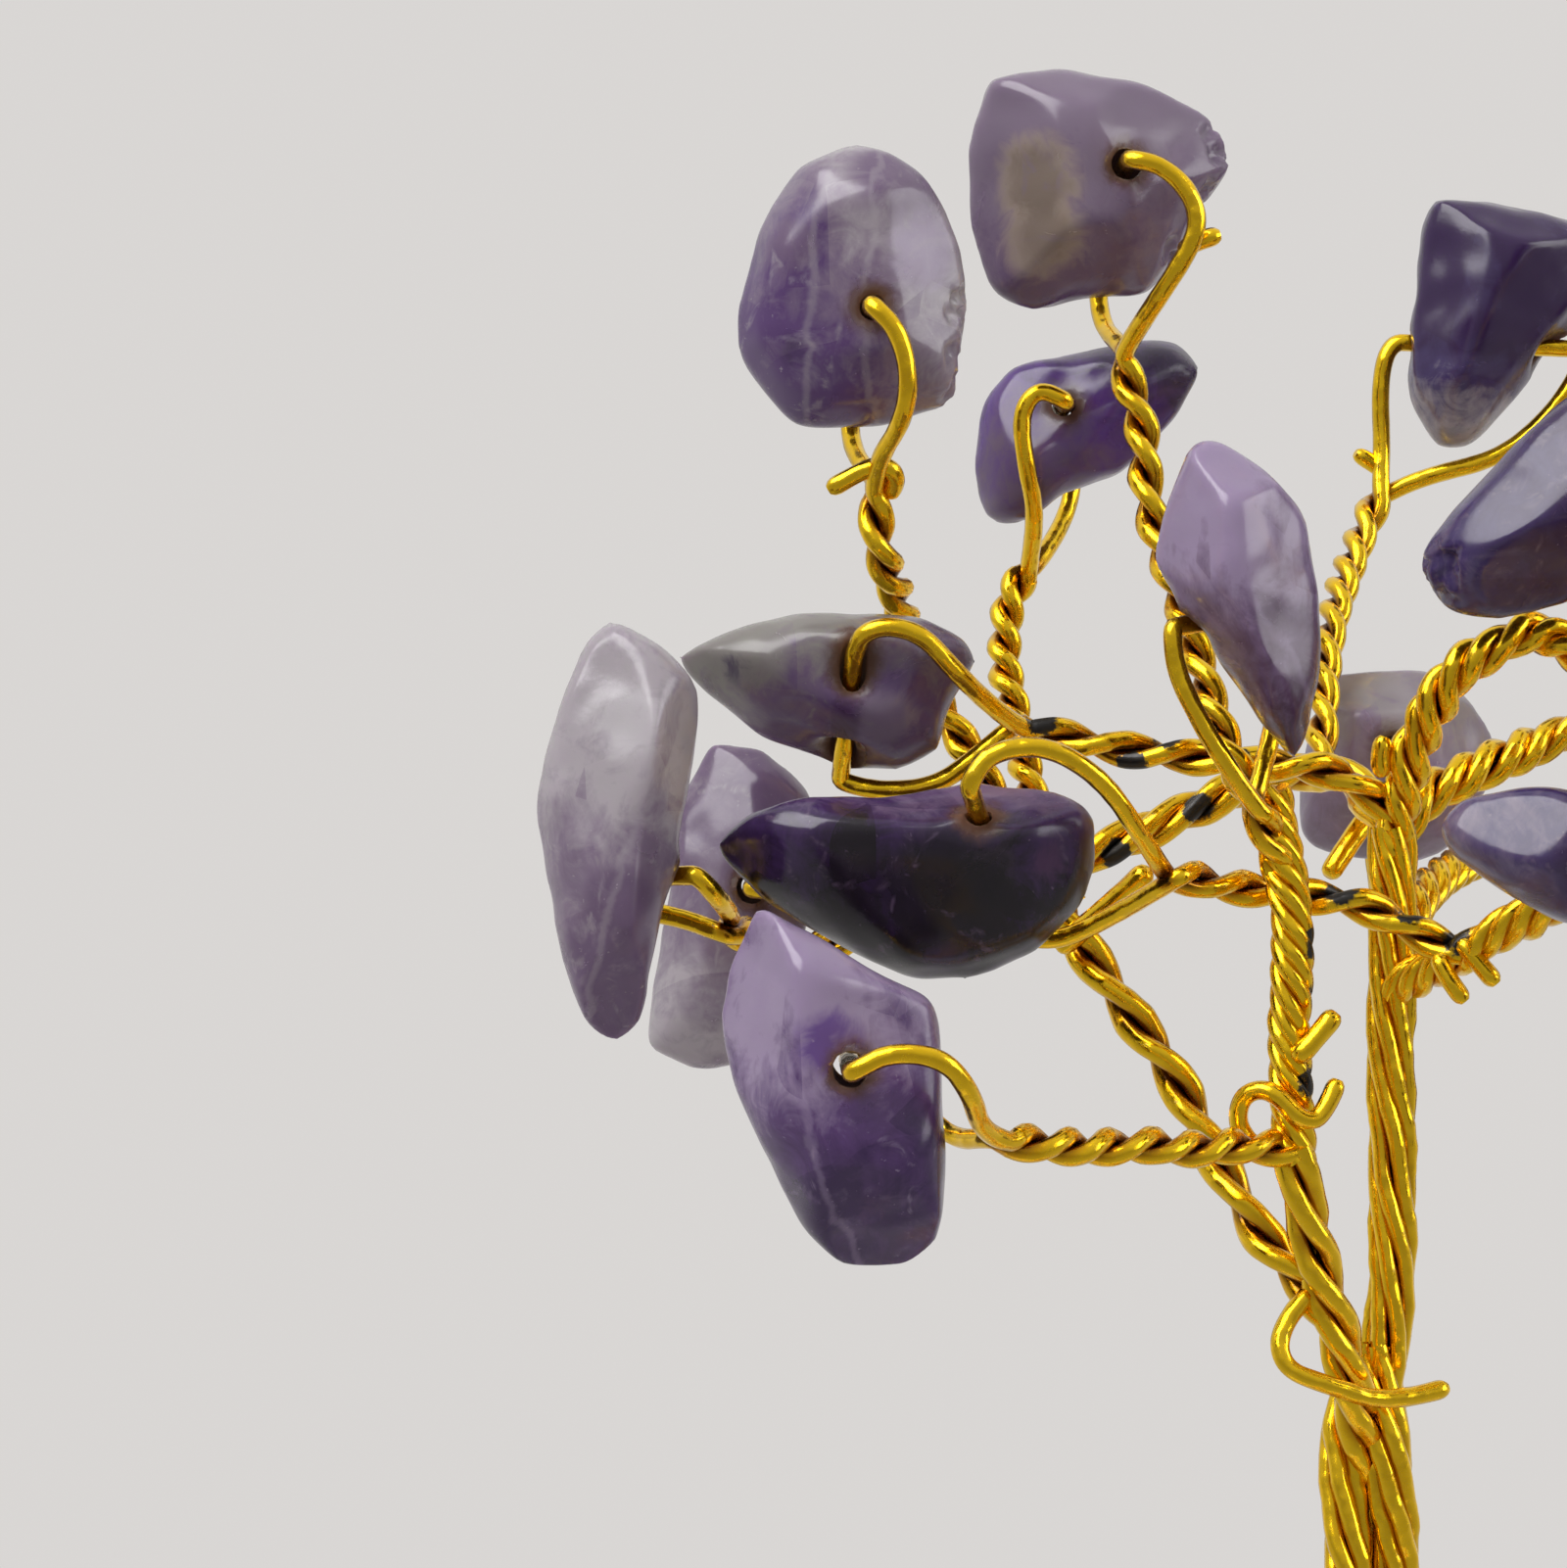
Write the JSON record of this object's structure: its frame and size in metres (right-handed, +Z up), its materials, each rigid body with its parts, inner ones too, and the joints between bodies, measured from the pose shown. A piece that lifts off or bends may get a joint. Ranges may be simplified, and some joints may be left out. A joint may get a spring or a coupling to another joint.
{
  "type": "gemstone tree ornament",
  "caption": "Small wire tree ornament: drilled violet stone chips on twisted gold wire branches, a twisted trunk with spread roots, glued on a flat stone slab.",
  "frame": {"origin": "middle of the slab's underside, straight below the trunk", "axes": "+Z up along the trunk, -Y towards the viewer of the picture, +X to the viewer's right"},
  "size_m": [0.0429, 0.0325, 0.0633],
  "materials": {
    "amethyst": "polished translucent violet quartz",
    "gold_wire": "bright gold coloured craft wire",
    "slab_stone": "honed top, broken sides",
    "clear_glue": "clear set resin"
  },
  "bodies": {
    "tree": {"slab": "slab_stone", "trunk": "gold_wire", "upper_trunk": "gold_wire", "front_limb": "gold_wire", "low_left_limb": "gold_wire", "upper_right_limb": "gold_wire", "rear_left_limb": "gold_wire", "right_limb": "gold_wire", "low_right_limb": "gold_wire", "rear_right_limb": "gold_wire", "roots": "gold_wire", "glue": "clear_glue", "wire_a": "gold_wire", "wire_b": "gold_wire", "wire_c": "gold_wire", "wire_d": "gold_wire", "wire_e": "gold_wire", "wire_f": "gold_wire", "wire_g": "gold_wire", "wire_h": "gold_wire", "wire_i": "gold_wire", "wire_j": "gold_wire", "wire_k": "gold_wire", "wire_l": "gold_wire", "wire_m": "gold_wire", "wire_n": "gold_wire", "wire_o": "gold_wire", "wire_p": "gold_wire", "wire_q": "gold_wire", "wire_r": "gold_wire", "wire_s": "gold_wire", "wire_t": "gold_wire", "wire_u": "gold_wire", "wire_v": "gold_wire", "wire_w": "gold_wire", "wire_x": "gold_wire"},
    "stone_a": {"chip_a": "amethyst"},
    "stone_b": {"chip_b": "amethyst"},
    "stone_c": {"chip_c": "amethyst"},
    "stone_d": {"chip_d": "amethyst"},
    "stone_e": {"chip_e": "amethyst"},
    "stone_f": {"chip_f": "amethyst"},
    "stone_g": {"chip_g": "amethyst"},
    "stone_h": {"chip_h": "amethyst"},
    "stone_i": {"chip_i": "amethyst"},
    "stone_j": {"chip_j": "amethyst"},
    "stone_k": {"chip_k": "amethyst"},
    "stone_l": {"chip_l": "amethyst"},
    "stone_m": {"chip_m": "amethyst"},
    "stone_n": {"chip_n": "amethyst"},
    "stone_o": {"chip_o": "amethyst"},
    "stone_p": {"chip_p": "amethyst"},
    "stone_q": {"chip_q": "amethyst"},
    "stone_r": {"chip_r": "amethyst"},
    "stone_s": {"chip_s": "amethyst"},
    "stone_t": {"chip_t": "amethyst"},
    "stone_u": {"chip_u": "amethyst"},
    "stone_v": {"chip_v": "amethyst"},
    "stone_w": {"chip_w": "amethyst"},
    "stone_x": {"chip_x": "amethyst"}
  },
  "joints": [
    {"name": "turn_a", "type": "hinge", "parent": "tree", "child": "stone_a", "pos_m": [-0.01282, -0.001, 0.05582], "axis": [0, 1, 0], "range_deg": [-6, 6]},
    {"name": "turn_b", "type": "hinge", "parent": "tree", "child": "stone_b", "pos_m": [-0.00622, 0.002, 0.05986], "axis": [0, 1, 0], "range_deg": [-6, 6]},
    {"name": "turn_c", "type": "hinge", "parent": "tree", "child": "stone_c", "pos_m": [-0.00754, 0.006, 0.05407], "axis": [0, 1, 0], "range_deg": [-6, 6]},
    {"name": "turn_d", "type": "hinge", "parent": "tree", "child": "stone_d", "pos_m": [0.0048, 0.012, 0.05639], "axis": [0.9996, 0, -0.0288], "range_deg": [-5, 5]},
    {"name": "turn_e", "type": "hinge", "parent": "tree", "child": "stone_e", "pos_m": [0.005, -0.004, 0.05026], "axis": [0, 1, 0], "range_deg": [-6, 6]},
    {"name": "turn_f", "type": "hinge", "parent": "tree", "child": "stone_f", "pos_m": [-0.00431, -0.0037, 0.04803], "axis": [0.6856, 0.7182, 0.1187], "range_deg": [-4, 4]},
    {"name": "turn_g", "type": "hinge", "parent": "tree", "child": "stone_g", "pos_m": [-0.01886, -0.0033, 0.04169], "axis": [-0.8241, 0.565, -0.0395], "range_deg": [-5, 5]},
    {"name": "turn_h", "type": "hinge", "parent": "tree", "child": "stone_h", "pos_m": [-0.01338, -0.00198, 0.04585], "axis": [-0.072, 0.6301, -0.7732], "range_deg": [-5, 5]},
    {"name": "turn_i", "type": "hinge", "parent": "tree", "child": "stone_i", "pos_m": [-0.01582, 0.0035, 0.04129], "axis": [0, 1, 0], "range_deg": [-6, 6]},
    {"name": "turn_j", "type": "hinge", "parent": "tree", "child": "stone_j", "pos_m": [-0.00983, -0.004, 0.04207], "axis": [0.2163, 0.7947, -0.5672], "range_deg": [-4, 4]},
    {"name": "turn_k", "type": "hinge", "parent": "tree", "child": "stone_k", "pos_m": [-0.01343, -0.0085, 0.03738], "axis": [0, 1, 0], "range_deg": [-6, 6]},
    {"name": "turn_l", "type": "hinge", "parent": "tree", "child": "stone_l", "pos_m": [0.00141, 0.008, 0.04494], "axis": [0, 1, 0], "range_deg": [-6, 6]},
    {"name": "turn_m", "type": "hinge", "parent": "tree", "child": "stone_m", "pos_m": [0.00401, -0.008, 0.04242], "axis": [0, 1, 0], "range_deg": [-6, 6]},
    {"name": "turn_n", "type": "hinge", "parent": "tree", "child": "stone_n", "pos_m": [0.0109, -0.0025, 0.05658], "axis": [-0.4226, 0.9063, 0], "range_deg": [-6, 6]},
    {"name": "turn_o", "type": "hinge", "parent": "tree", "child": "stone_o", "pos_m": [0.0175, 0, 0.051], "axis": [-0.866, 0.5, 0], "range_deg": [-6, 6]},
    {"name": "turn_p", "type": "hinge", "parent": "tree", "child": "stone_p", "pos_m": [0.00817, -0.011, 0.04445], "axis": [0.342, 0.9397, 0], "range_deg": [-6, 6]},
    {"name": "turn_q", "type": "hinge", "parent": "tree", "child": "stone_q", "pos_m": [0.01622, -0.0035, 0.04279], "axis": [-0.5, 0.866, 0], "range_deg": [-6, 6]},
    {"name": "turn_r", "type": "hinge", "parent": "tree", "child": "stone_r", "pos_m": [0.00979, -0.009, 0.03642], "axis": [0.5736, 0.8192, 0], "range_deg": [-6, 6]},
    {"name": "turn_s", "type": "hinge", "parent": "tree", "child": "stone_s", "pos_m": [0.01798, 0.0025, 0.03569], "axis": [-0.5, 0.866, 0], "range_deg": [-6, 6]},
    {"name": "turn_t", "type": "hinge", "parent": "tree", "child": "stone_t", "pos_m": [0.01544, 0.014, 0.04259], "axis": [0.5, 0.866, 0], "range_deg": [-6, 6]},
    {"name": "turn_u", "type": "hinge", "parent": "tree", "child": "stone_u", "pos_m": [0.0191, 0.011, 0.05418], "axis": [-0.342, 0.9397, 0], "range_deg": [-6, 6]},
    {"name": "turn_v", "type": "hinge", "parent": "tree", "child": "stone_v", "pos_m": [0.01309, 0.01, 0.03445], "axis": [-0.5736, 0.8192, 0], "range_deg": [-6, 6]},
    {"name": "turn_w", "type": "hinge", "parent": "tree", "child": "stone_w", "pos_m": [0.01091, 0.004, 0.06032], "axis": [0.2588, 0.9659, 0], "range_deg": [-6, 6]},
    {"name": "turn_x", "type": "hinge", "parent": "tree", "child": "stone_x", "pos_m": [0.01272, 0.0075, 0.05041], "axis": [-0.2588, 0.9659, 0], "range_deg": [-6, 6]}
  ]
}
